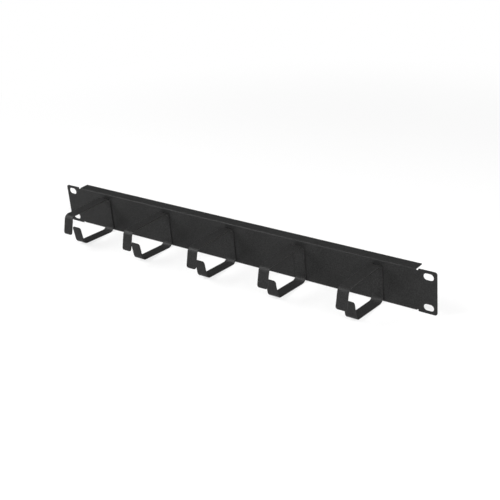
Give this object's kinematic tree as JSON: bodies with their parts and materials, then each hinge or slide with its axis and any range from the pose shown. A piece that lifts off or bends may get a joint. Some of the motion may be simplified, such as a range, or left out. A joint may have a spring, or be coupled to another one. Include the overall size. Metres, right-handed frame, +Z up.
{
  "type": "horizontal cable manager",
  "caption": "Flat steel rack panel with backward-folded flanges and a row of bent strap rings on its front that carry patch cables.",
  "frame": {"origin": "centre of the four rack slots, on the rear face of the panel, which seats on the rack's rails", "axes": "+X along the panel, +Y backwards into the rack, +Z up; the cable rings stand out towards -Y"},
  "size_m": [0.4826, 0.0758, 0.0444],
  "materials": {
    "panel_coat": "fine-textured matte black powder coat on sheet steel",
    "ring_coat": "fine-textured matte black powder coat on steel strap"
  },
  "bodies": {
    "root": {"rack_panel": "panel_coat", "cable_ring_1": "ring_coat", "cable_ring_2": "ring_coat", "cable_ring_3": "ring_coat", "cable_ring_4": "ring_coat", "cable_ring_5": "ring_coat"}
  },
  "joints": []
}
